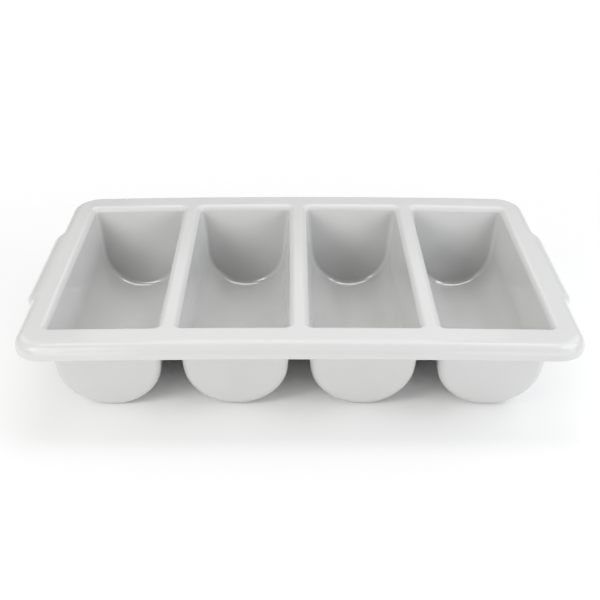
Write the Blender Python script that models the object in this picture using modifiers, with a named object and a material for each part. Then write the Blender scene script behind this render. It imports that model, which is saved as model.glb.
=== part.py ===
"""Four-compartment cutlery bin: one thin-walled moulding in semi-gloss grey polypropylene.

Four half-round troughs hang from a flat deck. The deck turns down all round over a rounded
shoulder into a short open skirt, and each end of the rim swells into a hand grip. The dividers
between the troughs are hollow and open from below, as a single wall gives them.

Frame: metres, +X along the bin, -Y its front, +Z up. The origin lies under the middle of the
bin, on the surface that the four troughs stand on.
"""
from math import cos, pi, radians, sin, tan

import bmesh
import bpy

# Whole bin
RIM_LENGTH = 0.518          # along X, without the grips
RIM_DEPTH = 0.325           # along Y
HEIGHT = 0.099              # from the standing surface to the deck
WALL = 0.003                # the same wall everywhere

# Troughs: the margins and the divider run between inner faces at the top of the walls
TROUGH_COUNT = 4
DIVIDER_WIDTH = 0.0190      # from one trough to the next
END_MARGIN = 0.0281         # from the outermost troughs to the ends of the rim
SIDE_MARGIN = 0.0352        # from the troughs to the front and the rear of the rim
FOOT_WIDTH = 0.002          # flat strip along the lowest line, which the bin stands on
END_FILLET = 0.0052         # where the end walls meet the half-round and the sides
SIDE_DRAFT = radians(5.0)
END_DRAFT = radians(7.4)
MOUTH_DROP = 0.0058         # height over which the mouth rolls from the walls onto the deck

# Rim
CORNER_RADIUS = 0.0300      # of the outer corners, seen from above
SHOULDER_RADIUS = 0.0115
SKIRT_RUN = 0.0030          # height of the straight skirt below the shoulder
SKIRT_DRAFT = radians(2.0)

# Hand grips at the two ends
GRIP_REACH = 0.0060         # how far a grip stands out from the rim
GRIP_LENGTH = 0.135         # between the middles of its two run-outs
GRIP_RUNOUT = 0.015         # length over which it swells out of the rim

# Facets
FLOOR_STEPS = 9             # each side of the foot strip
FILLET_STEPS = 3
MOUTH_STEPS = 4
CORNER_STEPS = 6
SHOULDER_STEPS = 5
RUNOUT_STEPS = 5

TROUGH_WIDTH = (RIM_LENGTH - 2 * END_MARGIN - (TROUGH_COUNT - 1) * DIVIDER_WIDTH) / TROUGH_COUNT
TROUGH_LENGTH = RIM_DEPTH - 2 * SIDE_MARGIN
TROUGH_PITCH = TROUGH_WIDTH + DIVIDER_WIDTH
WALL_TOP = HEIGHT - MOUTH_DROP
QUARTER = pi / 2


def clear_scene():
    for old in list(bpy.data.objects):
        bpy.data.objects.remove(old, do_unlink=True)


def plastic(name, colour, roughness):
    material = bpy.data.materials.new(name)
    material.use_nodes = True
    shader = material.node_tree.nodes["Principled BSDF"]
    shader.inputs["Base Color"].default_value = (*colour, 1.0)
    shader.inputs["Roughness"].default_value = roughness
    shader.inputs["Metallic"].default_value = 0.0
    material.diffuse_color = (*colour, 1.0)
    return material


def turn(steps, start=0.0, end=QUARTER):
    """Angles of a round stretch, both ends included."""
    return [start + (end - start) * k / steps for k in range(steps + 1)]


def ring(bm, points):
    return [bm.verts.new(point) for point in points]


def loft(bm, rings, closed):
    """Skin between neighbouring rings that have as many corners each."""
    for low, high in zip(rings, rings[1:]):
        for k in range(len(low) if closed else len(low) - 1):
            n = (k + 1) % len(low)
            bm.faces.new((low[k], low[n], high[n], high[k]))


def loop_edges(bm, loop):
    return [bm.edges.get((a, b)) for a, b in zip(loop, loop[1:] + loop[:1])]


def floor_radius():
    """Radius of the half-round that runs smoothly into both drafted sides."""
    slope = tan(SIDE_DRAFT)
    reach = (TROUGH_WIDTH - FOOT_WIDTH) / 2 - (WALL_TOP - WALL) * slope
    return reach / (cos(SIDE_DRAFT) - (1 - sin(SIDE_DRAFT)) * slope)


def trough_section(inset):
    """Inside of a trough cut across, from its left top to its right top, drawn in by inset."""
    centre = WALL + floor_radius()
    radius = floor_radius() - inset
    half_foot = FOOT_WIDTH / 2
    right = []
    for angle in turn(FLOOR_STEPS, 0.0, QUARTER - SIDE_DRAFT):
        right.append((half_foot + radius * sin(angle), centre - radius * cos(angle)))
    side_x, side_z = right[-1]
    right.append((side_x + (WALL_TOP - side_z) * tan(SIDE_DRAFT), WALL_TOP))
    return [(-x, z) for x, z in reversed(right)] + right


def trough_rings(centre_x):
    """Sections from the front end to the rear end. The end fillets draw them in, and the end
    draft leans them: the lower a point, the nearer it lies to the middle of the bin."""
    rings = []
    for end, angles in ((-1, turn(FILLET_STEPS, QUARTER, 0.0)), (1, turn(FILLET_STEPS))):
        for angle in angles:
            reach = TROUGH_LENGTH / 2 - END_FILLET * (1 - sin(angle))
            points = []
            for x, z in trough_section(END_FILLET * (1 - cos(angle))):
                lean = (WALL_TOP - z) * tan(END_DRAFT)
                points.append((centre_x + x, end * (reach - lean), z))
            rings.append(points)
    return rings


def mouth_normals():
    """Direction in which the mouth's edge faces outwards, seen from above, for each corner of
    the mouth in turn: up the right side from front to rear, then down the left side."""
    right = [-angle for angle in turn(FILLET_STEPS, QUARTER, 0.0)] + turn(FILLET_STEPS)
    return right + [pi - angle for angle in reversed(right)]


def add_trough(bm, centre_x):
    """One trough with its rolled mouth. Returns the mouth's edges, which lie on the deck."""
    sections = [ring(bm, points) for points in trough_rings(centre_x)]
    loft(bm, sections, closed=False)
    bm.faces.new(sections[0])
    bm.faces.new(list(reversed(sections[-1])))

    wall_top = [section[-1] for section in sections] + [section[0] for section in reversed(sections)]
    mouth = [wall_top]
    for step in range(1, MOUTH_STEPS + 1):
        points = []
        for corner, facing in zip(wall_top, mouth_normals()):
            draft = SIDE_DRAFT * cos(facing) ** 2 + END_DRAFT * sin(facing) ** 2
            radius = MOUTH_DROP / (1 - sin(draft))
            angle = draft + (QUARTER - draft) * step / MOUTH_STEPS
            outward = radius * (cos(draft) - cos(angle))
            points.append((
                corner.co.x + outward * cos(facing),
                corner.co.y + outward * sin(facing),
                WALL_TOP + radius * (sin(angle) - sin(draft)),
            ))
        mouth.append(ring(bm, points))
    loft(bm, mouth, closed=True)
    return loop_edges(bm, mouth[-1])


def grip_profile():
    """Places along one end of the rim, from front to rear, with the share of the grip's reach."""
    start = -(GRIP_LENGTH + GRIP_RUNOUT) / 2
    front = []
    for angle in turn(RUNOUT_STEPS, 0.0, pi):
        front.append((start + GRIP_RUNOUT * angle / pi, (1 - cos(angle)) / 2))
    return front + [(-y, share) for y, share in reversed(front)]


def rim_points(inset, grip_reach, z):
    """Outline of the rim seen from above, drawn in by inset, anticlockwise from the right end."""
    half_length = RIM_LENGTH / 2 - inset
    half_depth = RIM_DEPTH / 2 - inset
    radius = CORNER_RADIUS - inset
    right_end = [(half_length + grip_reach * share, y) for y, share in grip_profile()]
    corner = []
    for angle in turn(CORNER_STEPS):
        corner.append((half_length - radius * (1 - cos(angle)), half_depth - radius * (1 - sin(angle))))
    half = right_end + corner + [(-x, y) for x, y in reversed(corner)]
    return [(x, y, z) for x, y in half] + [(-x, -y, z) for x, y in half]


def add_rim(bm):
    """Shoulder and skirt. Returns the edges where the shoulder leaves the deck."""
    drawn_in = SKIRT_RUN * tan(SKIRT_DRAFT)
    rings = []
    for angle in turn(SHOULDER_STEPS):
        inset = drawn_in + SHOULDER_RADIUS * (1 - sin(angle))
        drop = SHOULDER_RADIUS * (1 - cos(angle))
        rings.append(ring(bm, rim_points(inset, GRIP_REACH * sin(angle), HEIGHT - drop)))
    rings.append(ring(bm, rim_points(0.0, GRIP_REACH, HEIGHT - SHOULDER_RADIUS - SKIRT_RUN)))
    loft(bm, list(reversed(rings)), closed=True)
    return loop_edges(bm, rings[0])


def bin_skin():
    """The bin's upper side as one open surface, its faces looking up and out."""
    bm = bmesh.new()
    border = add_rim(bm)
    for k in range(TROUGH_COUNT):
        border += add_trough(bm, (k - (TROUGH_COUNT - 1) / 2) * TROUGH_PITCH)
    up = (0.0, 0.0, 1.0)
    deck = bmesh.ops.triangle_fill(bm, use_beauty=True, edges=border, normal=up)
    bmesh.ops.recalc_face_normals(bm, faces=bm.faces[:])
    deck_face = next(face for face in deck["geom"] if isinstance(face, bmesh.types.BMFace))
    if deck_face.normal.z < 0:
        bmesh.ops.reverse_faces(bm, faces=bm.faces[:])
    mesh = bpy.data.meshes.new("bin_moulding")
    bm.to_mesh(mesh)
    bm.free()
    return mesh


def bin_moulding(parts):
    mesh = bin_skin()
    mesh.materials.append(plastic("grey_polypropylene", (0.45, 0.45, 0.446), 0.22))
    mesh.shade_smooth()
    mesh.set_sharp_from_angle(angle=radians(35))
    moulding = bpy.data.objects.new("bin_moulding", mesh)
    parts.objects.link(moulding)
    shell = moulding.modifiers.new("wall", "SOLIDIFY")
    shell.thickness = WALL
    shell.offset = -1.0
    shell.use_even_offset = True
    shell.use_quality_normals = True
    return moulding


clear_scene()
cutlery_bin = bpy.data.collections.new("cutlery_bin")
bpy.context.scene.collection.children.link(cutlery_bin)
bin_moulding(cutlery_bin)
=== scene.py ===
"""Four-compartment cutlery bin in semi-gloss grey polypropylene, on a white studio floor.

The visible bin is carved like its mould: a block with the rim's outline, four pits sunk into it, every edge
rounded, and then only the skin kept and given its wall. Lengths are in metres, +X runs along the bin, -Y is its
front and +Z is up.
"""
from math import cos, pi, radians, sin, tan

import bmesh
import bpy
from mathutils import Matrix, Vector


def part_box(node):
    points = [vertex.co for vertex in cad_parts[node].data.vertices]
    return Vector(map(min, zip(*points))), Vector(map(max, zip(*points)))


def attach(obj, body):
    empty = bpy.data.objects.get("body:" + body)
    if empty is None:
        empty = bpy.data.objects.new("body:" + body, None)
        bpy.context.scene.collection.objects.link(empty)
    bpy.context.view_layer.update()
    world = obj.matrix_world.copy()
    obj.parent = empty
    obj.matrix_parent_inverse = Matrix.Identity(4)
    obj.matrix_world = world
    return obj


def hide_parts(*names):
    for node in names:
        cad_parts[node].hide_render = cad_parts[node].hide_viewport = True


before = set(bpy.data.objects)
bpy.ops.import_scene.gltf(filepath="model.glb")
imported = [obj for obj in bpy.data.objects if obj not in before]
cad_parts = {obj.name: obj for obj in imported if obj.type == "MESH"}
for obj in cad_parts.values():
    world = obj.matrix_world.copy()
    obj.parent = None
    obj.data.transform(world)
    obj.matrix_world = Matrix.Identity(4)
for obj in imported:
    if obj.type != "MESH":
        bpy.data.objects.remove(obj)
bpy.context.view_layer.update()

NODE_LOW, NODE_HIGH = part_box("bin_moulding")

# Rim
GRIP_REACH = 0.0060                                 # how far a hand grip stands out from the rim
GRIP_LENGTH = 0.135                                 # between the middles of its two run-outs
GRIP_RUNOUT = 0.015
RIM_LENGTH = NODE_HIGH.x - NODE_LOW.x - 2 * GRIP_REACH
RIM_DEPTH = NODE_HIGH.y - NODE_LOW.y
HEIGHT = NODE_HIGH.z
CORNER_RADIUS = 0.0300
SHOULDER_RADIUS = 0.0115
SKIRT_HEIGHT = 0.0145                               # from the deck to the skirt's lower edge
SKIRT_DRAFT = radians(2.0)
WALL = 0.0030
LIP_ROUNDING = 0.0009                               # on both edges of the skirt's lower lip

# Troughs, measured inside at the top of their walls
TROUGH_COUNT = 4
DIVIDER_WIDTH = 0.0190
END_MARGIN = 0.0281
SIDE_MARGIN = 0.0352
TROUGH_WIDTH = (RIM_LENGTH - 2 * END_MARGIN - (TROUGH_COUNT - 1) * DIVIDER_WIDTH) / TROUGH_COUNT
TROUGH_LENGTH = RIM_DEPTH - 2 * SIDE_MARGIN
FOOT_WIDTH = 0.0020
SIDE_DRAFT = radians(5.0)
END_DRAFT = radians(7.4)
END_FILLET = 0.0052
MOUTH_DROP = 0.0058                                 # height over which the mouth rolls onto the deck
WALL_TOP = HEIGHT - MOUTH_DROP

# Crown that the moulding cooled into: the middle of the deck stands higher than its ends, and the middle
# troughs stand clear of the floor by a hair
CROWN = 0.00238
CROWN_REST = 0.1845                                 # from the middle, where the bin still touches the floor
CORNER_DROOP = 0.0009                               # by which the four corners sink below the crown

# Facets
FLOOR_SEGMENTS = 30
FILLET_SEGMENTS = 7
MOUTH_SEGMENTS = 10
CORNER_SEGMENTS = 16
SHOULDER_SEGMENTS = 14
RUNOUT_SEGMENTS = 10
SLICES = 24                                         # of the wide faces along X, which follow the crown
LIP_SEGMENTS = 3
CAGE_POINTS = (13, 9, 2)                            # of the cage that bends the bin, along X, Y and Z

# Modelling
OVERRUN = 0.010                                     # of the block and the pits past what is kept
NEAR = 0.00002                                      # a corner this close to a place lies on it
FACING = 0.9                                        # a face whose normal reaches this along an axis faces it
UPRIGHT = 0.3                                       # a face whose normal rises less than this is a wall

# Finish. Scales are counts per metre, and the two tones are shares of the colour
PLASTIC_COLOUR = (0.45, 0.45, 0.446)
PLASTIC_IOR = 1.49
PLASTIC_ROUGHNESS = 0.12
GLOSS_VARIATION = 0.03                              # by which the mottle makes it duller or glossier
MOTTLE_SCALE, MOTTLE_DETAIL, MOTTLE_COARSENESS = 26.0, 5.0, 0.62
MOTTLE_RANGE = (0.30, 0.70)                         # of the noise, over which tone and gloss change
DARK_TONE, LIGHT_TONE = 0.975, 1.02
GRAIN_SCALE, GRAIN_DETAIL, GRAIN_DEPTH, GRAIN_STRENGTH = 2300.0, 2.0, 0.000012, 0.35
WAVE_SCALE, WAVE_DETAIL, WAVE_DEPTH, WAVE_STRENGTH = 17.0, 1.0, 0.00012, 0.30
POLISH_IOR, POLISH_ROUGHNESS = 1.70, 0.06           # of the brighter roundings at the foot of the end walls
POLISH_FULL = (0.75, 0.15)                          # shares of the end fillet, between which it is full
POLISH_FADE = (0.008, 0.018)                        # heights over which it fades out up the walls

# Light. A softbox stands at an azimuth, counted from the front of the bin towards its right end, and at a
# height angle above the floor. It faces the light target
NEUTRAL = (1.0, 1.0, 1.0)
WARM = (1.025, 1.01, 0.96)
COOL = (0.965, 1.0, 1.035)
SOFTBOXES = [
    # name, azimuth, height angle, distance, width, height, watts, tint
    ("overhead softbox", 180.0, 85.0, 1.30, 1.40, 0.40, 9.4, NEUTRAL),
    ("rear softbox", 180.0, 60.0, 1.80, 0.90, 0.90, 10.8, NEUTRAL),
    ("low rear softbox", 180.0, 40.0, 1.80, 1.30, 0.70, 4.6, NEUTRAL),
    ("right softbox", 90.0, 60.0, 1.80, 0.90, 0.90, 4.8, NEUTRAL),
    ("rear right softbox", 120.0, 35.0, 1.80, 0.80, 0.80, 5.4, NEUTRAL),
    ("rear left softbox", -120.0, 35.0, 1.80, 0.80, 0.80, 4.5, NEUTRAL),
    ("front left softbox", -60.0, 35.0, 1.80, 0.80, 0.80, 11.4, NEUTRAL),
    ("low left softbox", -30.0, 12.0, 1.80, 1.00, 0.80, 9.9, NEUTRAL),
    ("low right softbox", 30.0, 12.0, 1.80, 1.00, 0.80, 9.9, NEUTRAL),
    ("low side softbox", 60.0, 12.0, 1.80, 1.00, 0.80, 7.0, NEUTRAL),
    ("near left softbox", -45.0, 35.0, 0.85, 0.42, 0.42, 2.6, WARM),
    ("near right softbox", 75.0, 35.0, 0.85, 0.42, 0.42, 4.2, COOL),
]
LIGHT_TARGET = Vector((0.0, 0.0, 0.05))
BACKDROP_PLACE = (0.0, 2.0, 1.5)                    # over the floor behind the bin, which it keeps white
BACKDROP_SIZE = (3.0, 1.2)
BACKDROP_SPREAD = radians(70.0)
BACKDROP_WATTS = 25.0

# Floor and picture
FLOOR_SIZE = 30.0
PAPER_WHITE, PAPER_ROUGHNESS = 0.95, 0.9
FLOOR_SQUEEZE = (0.62, 1.0, 1.0)                    # makes the bin's outline on the floor about as long as wide
FLOOR_NEAR, FLOOR_FAR = 0.20, 0.50                  # from its middle: where the paper melts into the white
FILM_WHITE = 1.75                                   # light that the picture shows as full white
FILM_CURVE = [(0.25, 0.25), (0.5, 0.5), (0.618, 0.6), (0.784, 0.7), (1.016, 0.8), (1.332, 0.9)]

# Camera, solved from the outlines in the photograph
CAMERA_PLACE = (-0.00765, -0.85098, 0.5528)
CAMERA_YAW, CAMERA_PITCH, CAMERA_ROLL = -0.0039, radians(30.59), -0.0021
CAMERA_SHIFT = (0.0201, 0.0003)
SENSOR_WIDTH, FOCAL_LENGTH = 36.0, 56.40            # in millimetres


# Hands of the modeller


def choose(piece):
    """Select one piece and nothing else, and make it active."""
    bpy.ops.object.select_all(action="DESELECT")
    piece.select_set(True)
    bpy.context.view_layer.objects.active = piece


def begin(piece):
    """Open one piece for editing, with nothing selected in it."""
    choose(piece)
    bpy.ops.object.mode_set(mode="EDIT")
    bpy.ops.mesh.select_mode(type="FACE")
    bpy.ops.mesh.select_all(action="DESELECT")


def end():
    bpy.ops.object.mode_set(mode="OBJECT")


def pick(piece, kind, wanted):
    """Select the faces, edges or verts for which wanted() holds, and nothing else."""
    bpy.ops.mesh.select_mode(type={"faces": "FACE", "edges": "EDGE", "verts": "VERT"}[kind])
    bpy.ops.mesh.select_all(action="DESELECT")
    mesh = bmesh.from_edit_mesh(piece.data)
    mesh.normal_update()
    for item in getattr(mesh, kind):
        if wanted(item):
            item.select_set(True)
    mesh.select_flush_mode()
    bmesh.update_edit_mesh(piece.data)


def apply_modifier(piece, modifier):
    choose(piece)
    bpy.ops.object.modifier_apply(modifier=modifier.name)


def tangent(radius, draft):
    """How far from a sharp edge its rounding starts, where one side leans by the draft."""
    return radius * tan((pi / 2 - draft) / 2)


def round_off(offset, segments):
    bpy.ops.mesh.bevel(offset=offset, offset_type="OFFSET", segments=segments, profile=0.5, affect="EDGES",
                       clamp_overlap=False, loop_slide=True)


def tapered_block(name, low_size, high_size, low_z, high_z, centre_x=0.0):
    """A box that widens or narrows evenly from its lower to its upper face."""
    bpy.ops.object.select_all(action="DESELECT")
    bpy.ops.mesh.primitive_cube_add(size=1.0, location=(centre_x, 0.0, (low_z + high_z) / 2))
    block = bpy.context.object
    block.name = name
    block.data.name = name
    bpy.ops.transform.resize(value=(low_size[0], low_size[1], high_z - low_z))
    bpy.ops.object.transform_apply(location=True, rotation=False, scale=True)
    begin(block)
    pick(block, "faces", lambda face: face.normal.z > FACING)
    bpy.ops.transform.resize(value=(high_size[0] / low_size[0], high_size[1] / low_size[1], 1.0),
                             center_override=(centre_x, 0.0, high_z))
    end()
    return block


# The bin


def rim_block():
    """Block with the rim's outline, its rounded corners and the shoulder that meets the deck."""
    low_z = -OVERRUN
    lean_low = (HEIGHT - SKIRT_HEIGHT - low_z) * tan(SKIRT_DRAFT)
    lean_high = -SKIRT_HEIGHT * tan(SKIRT_DRAFT)
    sizes = [(RIM_LENGTH + 2 * lean, RIM_DEPTH + 2 * lean) for lean in (lean_low, lean_high)]
    block = tapered_block("bin", sizes[0], sizes[1], low_z, HEIGHT)
    begin(block)
    pick(block, "edges", lambda edge: abs(edge.verts[0].co.z - edge.verts[1].co.z) > HEIGHT / 2)
    round_off(CORNER_RADIUS, CORNER_SEGMENTS)
    pick(block, "edges", lambda edge: all(corner.co.z > HEIGHT - NEAR for corner in edge.verts))
    round_off(tangent(SHOULDER_RADIUS, SKIRT_DRAFT), SHOULDER_SEGMENTS)
    end()
    return block


def deck_half_size():
    """From the middle of the bin to where the shoulder leaves the flat deck, along X and along Y."""
    inset = SKIRT_HEIGHT * tan(SKIRT_DRAFT) + tangent(SHOULDER_RADIUS, SKIRT_DRAFT)
    return RIM_LENGTH / 2 - inset, RIM_DEPTH / 2 - inset


def slice_ends(block, places):
    """Slice the straight stretches of the shoulder and the skirt at the two ends of the bin."""
    flat_end = deck_half_size()[0]
    for place in places:
        pick(block, "faces", lambda face: all(
            abs(corner.co.x) > flat_end - NEAR and abs(corner.co.y) < RIM_DEPTH / 2 - CORNER_RADIUS + NEAR
            for corner in face.verts))
        bpy.ops.mesh.bisect(plane_co=(0.0, place, 0.0), plane_no=(0.0, 1.0, 0.0), threshold=NEAR)


def grip_shares():
    """Places along one end of the rim where a grip swells, each with its share of the reach."""
    start = -(GRIP_LENGTH + GRIP_RUNOUT) / 2
    front = []
    for step in range(RUNOUT_SEGMENTS + 1):
        along = step / RUNOUT_SEGMENTS
        front.append((start + GRIP_RUNOUT * along, (1 - cos(pi * along)) / 2))
    return front + [(-place, share) for place, share in reversed(front)]


def swell_grips(block):
    """Draw the two ends of the rim out into hand grips."""
    shares = grip_shares()
    flat_end = deck_half_size()[0]
    begin(block)
    slice_ends(block, [place for place, share in shares])
    for side in (-1, 1):
        for place, share in shares:
            pick(block, "verts", lambda corner: abs(corner.co.y - place) < NEAR
                 and side * corner.co.x > flat_end + NEAR)
            stretch = 1 + GRIP_REACH * share / (RIM_LENGTH / 2 - flat_end)
            bpy.ops.transform.resize(value=(stretch, 1.0, 1.0), center_override=(side * flat_end, 0.0, 0.0))
    end()


def trough_size(z):
    """Inner width and length of a trough at a height, as if its walls ran on straight."""
    width = TROUGH_WIDTH + 2 * (z - WALL_TOP) * tan(SIDE_DRAFT)
    length = TROUGH_LENGTH + 2 * (z - WALL_TOP) * tan(END_DRAFT)
    return width, length


def pit(centre_x):
    """The space inside one trough: drafted sides, a half-round floor and filleted ends."""
    top = HEIGHT + OVERRUN
    block = tapered_block("pit", trough_size(WALL), trough_size(top), WALL, top, centre_x)
    begin(block)
    pick(block, "edges", lambda edge: all(corner.co.z < WALL + NEAR for corner in edge.verts)
         and abs(edge.verts[0].co.y - edge.verts[1].co.y) > TROUGH_LENGTH / 2)
    round_off((trough_size(WALL)[0] - FOOT_WIDTH) / 2, FLOOR_SEGMENTS)
    pick(block, "edges", lambda edge: any(abs(face.normal.y) > FACING for face in edge.link_faces)
         and not all(corner.co.z > top - NEAR for corner in edge.verts))
    round_off(tangent(END_FILLET, END_DRAFT / 2), FILLET_SEGMENTS)
    end()
    return block


def sink_troughs(block):
    """Cut the four pits into the block and roll their mouths onto the deck."""
    pits = []
    for k in range(TROUGH_COUNT):
        pits.append(pit((k - (TROUGH_COUNT - 1) / 2) * (TROUGH_WIDTH + DIVIDER_WIDTH)))
    bpy.ops.object.select_all(action="DESELECT")
    for piece in pits:
        piece.select_set(True)
    bpy.context.view_layer.objects.active = pits[0]
    bpy.ops.object.join()
    cutter = bpy.context.object
    cut = block.modifiers.new("pits", "BOOLEAN")
    cut.operation = "DIFFERENCE"
    cut.solver = "EXACT"
    cut.object = cutter
    apply_modifier(block, cut)
    bpy.data.objects.remove(cutter)

    begin(block)
    pick(block, "edges", lambda edge: all(corner.co.z > HEIGHT - NEAR for corner in edge.verts)
         and len(edge.link_faces) == 2
         and min(abs(face.normal.z) for face in edge.link_faces) < UPRIGHT)
    round_off(tangent(MOUTH_DROP / (1 - sin(SIDE_DRAFT)), SIDE_DRAFT), MOUTH_SEGMENTS)
    end()


def keep_skin(block):
    """Throw the block away below the skirt's lower edge and outside the troughs."""
    half_length, half_depth = deck_half_size()
    begin(block)
    pick(block, "faces", lambda face: all(
        corner.co.z < -NEAR or abs(corner.co.x) > half_length + NEAR or abs(corner.co.y) > half_depth + NEAR
        for corner in face.verts))
    bpy.ops.mesh.bisect(plane_co=(0.0, 0.0, HEIGHT - SKIRT_HEIGHT), plane_no=(0.0, 0.0, 1.0), threshold=NEAR,
                        clear_inner=True)
    end()


def slice_wide_faces(skin):
    """Slice the deck, the long edges and the ends of the troughs, so that they can follow the crown."""
    slice_width = RIM_LENGTH / SLICES
    begin(skin)
    for k in range(1, SLICES):
        place = k * slice_width - RIM_LENGTH / 2
        pick(skin, "faces", lambda face: min(corner.co.x for corner in face.verts) < place - NEAR
             and max(corner.co.x for corner in face.verts) > place + NEAR
             and face_width(face) > slice_width + NEAR)
        bpy.ops.mesh.bisect(plane_co=(place, 0.0, 0.0), plane_no=(1.0, 0.0, 0.0), threshold=NEAR)
    end()


def face_width(face):
    places = [corner.co.x for corner in face.verts]
    return max(places) - min(places)


def thicken(skin):
    wall = skin.modifiers.new("wall", "SOLIDIFY")
    wall.thickness = WALL
    wall.offset = -1.0
    wall.use_even_offset = True
    wall.use_quality_normals = True
    apply_modifier(skin, wall)


def round_lip(piece):
    """Take the edges off the skirt's lower lip, inside and outside."""
    half_length, half_depth = deck_half_size()
    begin(piece)
    pick(piece, "edges", lambda edge:
         sorted(face.normal.z < -FACING for face in edge.link_faces) == [False, True]
         and all(abs(corner.co.x) > half_length or abs(corner.co.y) > half_depth for corner in edge.verts)
         and all(abs(corner.co.z - (HEIGHT - SKIRT_HEIGHT)) < WALL / 2 for corner in edge.verts))
    round_off(LIP_ROUNDING, LIP_SEGMENTS)
    end()


def crown(piece):
    """Bend the bin over a cage: at deck height its ends sink, and at floor height its middle rises."""
    bpy.ops.object.select_all(action="DESELECT")
    bpy.ops.object.add(type="LATTICE", location=(0.0, 0.0, HEIGHT / 2))
    cage = bpy.context.object
    cage.scale = (RIM_LENGTH, RIM_DEPTH, HEIGHT)
    cage.data.points_u, cage.data.points_v, cage.data.points_w = CAGE_POINTS
    cage.data.interpolation_type_u = "KEY_CATMULL_ROM"
    cage.data.interpolation_type_v = "KEY_CATMULL_ROM"
    cage.data.interpolation_type_w = "KEY_LINEAR"
    for point in cage.data.points:
        away = (2 * point.co.x) ** 2
        drop = CROWN * away
        if point.co.z < 0:
            drop -= CROWN * (2 * CROWN_REST / RIM_LENGTH) ** 2
        else:
            drop += CORNER_DROOP * away * (2 * point.co.y) ** 2
        point.co_deform.z -= drop / HEIGHT
    bend = piece.modifiers.new("crown", "LATTICE")
    bend.object = cage
    bpy.context.view_layer.update()
    apply_modifier(piece, bend)
    bpy.data.objects.remove(cage)


def shade(piece):
    """Smooth all over, with the large flat faces keeping their own direction up to their edges."""
    choose(piece)
    bpy.ops.object.shade_smooth()
    weighted = piece.modifiers.new("shading", "WEIGHTED_NORMAL")
    weighted.mode = "FACE_AREA"
    apply_modifier(piece, weighted)


def cutlery_bin():
    piece = rim_block()
    swell_grips(piece)
    sink_troughs(piece)
    keep_skin(piece)
    slice_wide_faces(piece)
    thicken(piece)
    round_lip(piece)
    crown(piece)
    shade(piece)
    return piece


# Finish


def noise(tree, place, scale, detail):
    node = tree.nodes.new("ShaderNodeTexNoise")
    node.inputs["Scale"].default_value = scale
    node.inputs["Detail"].default_value = detail
    tree.links.new(place, node.inputs["Vector"])
    return node


def relief(tree, height, depth, strength):
    """Bumps as deep as the depth times the strength."""
    node = tree.nodes.new("ShaderNodeBump")
    node.inputs["Distance"].default_value = depth
    tree.links.new(strength, node.inputs["Strength"])
    tree.links.new(height, node.inputs["Height"])
    return node


def fade(tree, value, start, end, low, high):
    """A smooth change from low to high while the value runs from start to end."""
    node = tree.nodes.new("ShaderNodeMapRange")
    node.interpolation_type = "SMOOTHSTEP"
    for socket, number in (("From Min", start), ("From Max", end), ("To Min", low), ("To Max", high)):
        node.inputs[socket].default_value = number
    tree.links.new(value, node.inputs["Value"])
    return node.outputs["Result"]


def product(tree, first, second):
    node = tree.nodes.new("ShaderNodeMath")
    node.operation = "MULTIPLY"
    tree.links.new(first, node.inputs[0])
    tree.links.new(second, node.inputs[1])
    return node.outputs["Value"]


def grain_group():
    """Moulding grain, slow waves of the cooled wall, and the pigment's faint mottle."""
    group = bpy.data.node_groups.new("moulded plastic", "ShaderNodeTree")
    sockets = group.interface
    sockets.new_socket(name="Place", in_out="INPUT", socket_type="NodeSocketVector")
    sockets.new_socket(name="Grain", in_out="INPUT", socket_type="NodeSocketFloat").default_value = 1.0
    sockets.new_socket(name="Waves", in_out="INPUT", socket_type="NodeSocketFloat").default_value = 1.0
    sockets.new_socket(name="Mottle", in_out="OUTPUT", socket_type="NodeSocketFloat")
    sockets.new_socket(name="Normal", in_out="OUTPUT", socket_type="NodeSocketVector")
    nodes, links = group.nodes, group.links
    entry = nodes.new("NodeGroupInput")
    leave = nodes.new("NodeGroupOutput")

    mottle = noise(group, entry.outputs["Place"], MOTTLE_SCALE, MOTTLE_DETAIL)
    mottle.inputs["Roughness"].default_value = MOTTLE_COARSENESS
    links.new(mottle.outputs["Fac"], leave.inputs["Mottle"])

    fine = noise(group, entry.outputs["Place"], GRAIN_SCALE, GRAIN_DETAIL)
    grain = relief(group, fine.outputs["Fac"], GRAIN_DEPTH, entry.outputs["Grain"])
    slow = noise(group, entry.outputs["Place"], WAVE_SCALE, WAVE_DETAIL)
    waves = relief(group, slow.outputs["Fac"], WAVE_DEPTH, entry.outputs["Waves"])
    links.new(grain.outputs["Normal"], waves.inputs["Normal"])
    links.new(waves.outputs["Normal"], leave.inputs["Normal"])
    return group


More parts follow.
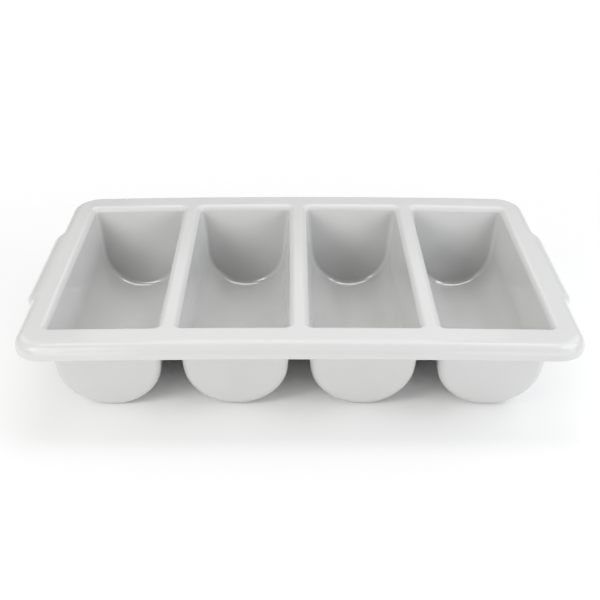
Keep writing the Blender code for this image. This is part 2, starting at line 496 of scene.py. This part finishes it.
def polish_group():
    """Mask of the rounding at the foot of a trough's end wall, which came brighter out of the mould."""
    group = bpy.data.node_groups.new("polished rounding", "ShaderNodeTree")
    sockets = group.interface
    sockets.new_socket(name="Place", in_out="INPUT", socket_type="NodeSocketVector")
    sockets.new_socket(name="Mask", in_out="OUTPUT", socket_type="NodeSocketFloat")
    nodes, links = group.nodes, group.links
    entry = nodes.new("NodeGroupInput")
    leave = nodes.new("NodeGroupOutput")
    axes = nodes.new("ShaderNodeSeparateXYZ")
    links.new(entry.outputs["Place"], axes.inputs["Vector"])

    away = nodes.new("ShaderNodeMath")
    away.operation = "ABSOLUTE"
    links.new(axes.outputs["Y"], away.inputs[0])
    upright = nodes.new("ShaderNodeMath")           # takes the end wall's draft out
    upright.operation = "MULTIPLY_ADD"
    upright.inputs[1].default_value = -tan(END_DRAFT)
    links.new(axes.outputs["Z"], upright.inputs[0])
    links.new(away.outputs["Value"], upright.inputs[2])

    foot = TROUGH_LENGTH / 2 - WALL_TOP * tan(END_DRAFT)
    full_from, full_to = [foot - share * END_FILLET for share in POLISH_FULL]
    begins = fade(group, upright.outputs["Value"], foot - END_FILLET, full_from, 0.0, 1.0)
    ends = fade(group, upright.outputs["Value"], full_to, foot, 1.0, 0.0)
    low = fade(group, axes.outputs["Z"], *POLISH_FADE, 1.0, 0.0)
    links.new(product(group, product(group, begins, ends), low), leave.inputs["Mask"])
    return group


def grey_polypropylene():
    """Semi-gloss mid grey, a shade lighter and duller in patches."""
    material = bpy.data.materials.new("grey_polypropylene")
    material.use_nodes = True
    nodes, links = material.node_tree.nodes, material.node_tree.links
    shader = nodes["Principled BSDF"]
    shader.inputs["IOR"].default_value = PLASTIC_IOR
    place = nodes.new("ShaderNodeTexCoord")
    plastic = nodes.new("ShaderNodeGroup")
    plastic.node_tree = grain_group()
    plastic.inputs["Grain"].default_value = GRAIN_STRENGTH
    plastic.inputs["Waves"].default_value = WAVE_STRENGTH
    links.new(place.outputs["Object"], plastic.inputs["Place"])

    tone = nodes.new("ShaderNodeValToRGB")
    for element, position, share in zip(tone.color_ramp.elements, MOTTLE_RANGE, (DARK_TONE, LIGHT_TONE)):
        element.position = position
        element.color = (*[part * share for part in PLASTIC_COLOUR], 1.0)
    links.new(plastic.outputs["Mottle"], tone.inputs["Fac"])
    links.new(tone.outputs["Color"], shader.inputs["Base Color"])

    dull = nodes.new("ShaderNodeMapRange")
    dull.inputs["From Min"].default_value, dull.inputs["From Max"].default_value = MOTTLE_RANGE
    dull.inputs["To Min"].default_value = PLASTIC_ROUGHNESS - GLOSS_VARIATION
    dull.inputs["To Max"].default_value = PLASTIC_ROUGHNESS + GLOSS_VARIATION
    links.new(plastic.outputs["Mottle"], dull.inputs["Value"])
    links.new(dull.outputs["Result"], shader.inputs["Roughness"])
    links.new(plastic.outputs["Normal"], shader.inputs["Normal"])

    polish = nodes.new("ShaderNodeGroup")
    polish.node_tree = polish_group()
    links.new(place.outputs["Object"], polish.inputs["Place"])
    links.new(polish.outputs["Mask"], shader.inputs["Coat Weight"])
    shader.inputs["Coat Roughness"].default_value = POLISH_ROUGHNESS
    shader.inputs["Coat IOR"].default_value = POLISH_IOR
    return material


# Studio


def studio_floor():
    """White paper that lights the bin from below, and that melts into the studio's white further out."""
    bpy.ops.object.select_all(action="DESELECT")
    bpy.ops.mesh.primitive_plane_add(size=FLOOR_SIZE)
    floor = bpy.context.object
    floor.name = "floor"
    paper = bpy.data.materials.new("white_paper")
    paper.use_nodes = True
    nodes, links = paper.node_tree.nodes, paper.node_tree.links
    shader = nodes["Principled BSDF"]
    shader.inputs["Base Color"].default_value = (PAPER_WHITE, PAPER_WHITE, PAPER_WHITE, 1.0)
    shader.inputs["Roughness"].default_value = PAPER_ROUGHNESS
    shader.inputs["Specular IOR Level"].default_value = 0.0

    place = nodes.new("ShaderNodeTexCoord")
    squeeze = nodes.new("ShaderNodeMapping")
    squeeze.inputs["Scale"].default_value = FLOOR_SQUEEZE
    links.new(place.outputs["Object"], squeeze.inputs["Vector"])
    away = nodes.new("ShaderNodeVectorMath")
    away.operation = "LENGTH"
    links.new(squeeze.outputs["Vector"], away.inputs[0])
    gone = fade(paper.node_tree, away.outputs["Value"], FLOOR_NEAR, FLOOR_FAR, 0.0, 1.0)
    path = nodes.new("ShaderNodeLightPath")         # light still falls on the whole paper
    clear = nodes.new("ShaderNodeBsdfTransparent")
    melt = nodes.new("ShaderNodeMixShader")
    links.new(product(paper.node_tree, gone, path.outputs["Is Camera Ray"]), melt.inputs["Fac"])
    links.new(shader.outputs["BSDF"], melt.inputs[1])
    links.new(clear.outputs["BSDF"], melt.inputs[2])
    links.new(melt.outputs["Shader"], nodes["Material Output"].inputs["Surface"])
    floor.data.materials.append(paper)


def area_light(name, place, width, height, watts):
    """A rectangle of light at a place, facing straight down."""
    light = bpy.data.lights.new(name, "AREA")
    light.shape = "RECTANGLE"
    light.size = width
    light.size_y = height
    light.energy = watts
    lamp = bpy.data.objects.new(name, light)
    bpy.context.scene.collection.objects.link(lamp)
    lamp.location = place
    return lamp


def softbox(name, azimuth, height_angle, distance, width, height, watts, tint):
    turn, rise = radians(azimuth), radians(height_angle)
    away = Vector((sin(turn) * cos(rise), -cos(turn) * cos(rise), sin(rise)))
    lamp = area_light(name, LIGHT_TARGET + distance * away, width, height, watts)
    lamp.data.color = tint
    lamp.rotation_euler = (-away).to_track_quat("-Z", "Y").to_euler()


def backdrop_light():
    """A wide light with a grid, so that it reaches the floor behind the bin but not the bin."""
    lamp = area_light("backdrop light", BACKDROP_PLACE, *BACKDROP_SIZE, BACKDROP_WATTS)
    lamp.data.spread = BACKDROP_SPREAD


def studio_light():
    world = bpy.data.worlds.new("studio")           # white to look at, and no light of its own
    world.use_nodes = True
    nodes, links = world.node_tree.nodes, world.node_tree.links
    nodes["Background"].inputs["Color"].default_value = (FILM_WHITE, FILM_WHITE, FILM_WHITE, 1.0)
    path = nodes.new("ShaderNodeLightPath")
    links.new(path.outputs["Is Camera Ray"], nodes["Background"].inputs["Strength"])
    bpy.context.scene.world = world
    for values in SOFTBOXES:
        softbox(*values)
    backdrop_light()


def film():
    """The picture's tone: plain up to a mid grey, and its highlights pressed together above that."""
    view = bpy.context.scene.view_settings
    view.view_transform = "Standard"
    view.look = "None"
    view.exposure = 0.0
    view.gamma = 1.0
    view.use_curve_mapping = True
    mapping = view.curve_mapping
    mapping.white_level = (FILM_WHITE, FILM_WHITE, FILM_WHITE)
    red_green_and_blue = mapping.curves[3]
    for light, shown in FILM_CURVE:
        red_green_and_blue.points.new(light / FILM_WHITE, shown)
    mapping.update()


def photograph_camera():
    """The photograph's viewpoint: straight in front, looking down at the bin by about 31 degrees."""
    data = bpy.data.cameras.new("camera")
    data.sensor_width = SENSOR_WIDTH
    data.sensor_fit = "HORIZONTAL"
    data.lens = FOCAL_LENGTH
    data.shift_x, data.shift_y = CAMERA_SHIFT
    camera = bpy.data.objects.new("camera", data)
    bpy.context.scene.collection.objects.link(camera)
    camera.matrix_world = (Matrix.Translation(CAMERA_PLACE)
                           @ Matrix.Rotation(-CAMERA_YAW, 4, "Z")
                           @ Matrix.Rotation(pi / 2 - CAMERA_PITCH, 4, "X")
                           @ Matrix.Rotation(CAMERA_ROLL, 4, "Z"))
    bpy.context.scene.camera = camera


moulding = cutlery_bin()
moulding.data.materials.clear()
moulding.data.materials.append(grey_polypropylene())
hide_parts("bin_moulding")
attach(moulding, "root")

studio_floor()
studio_light()
film()
photograph_camera()
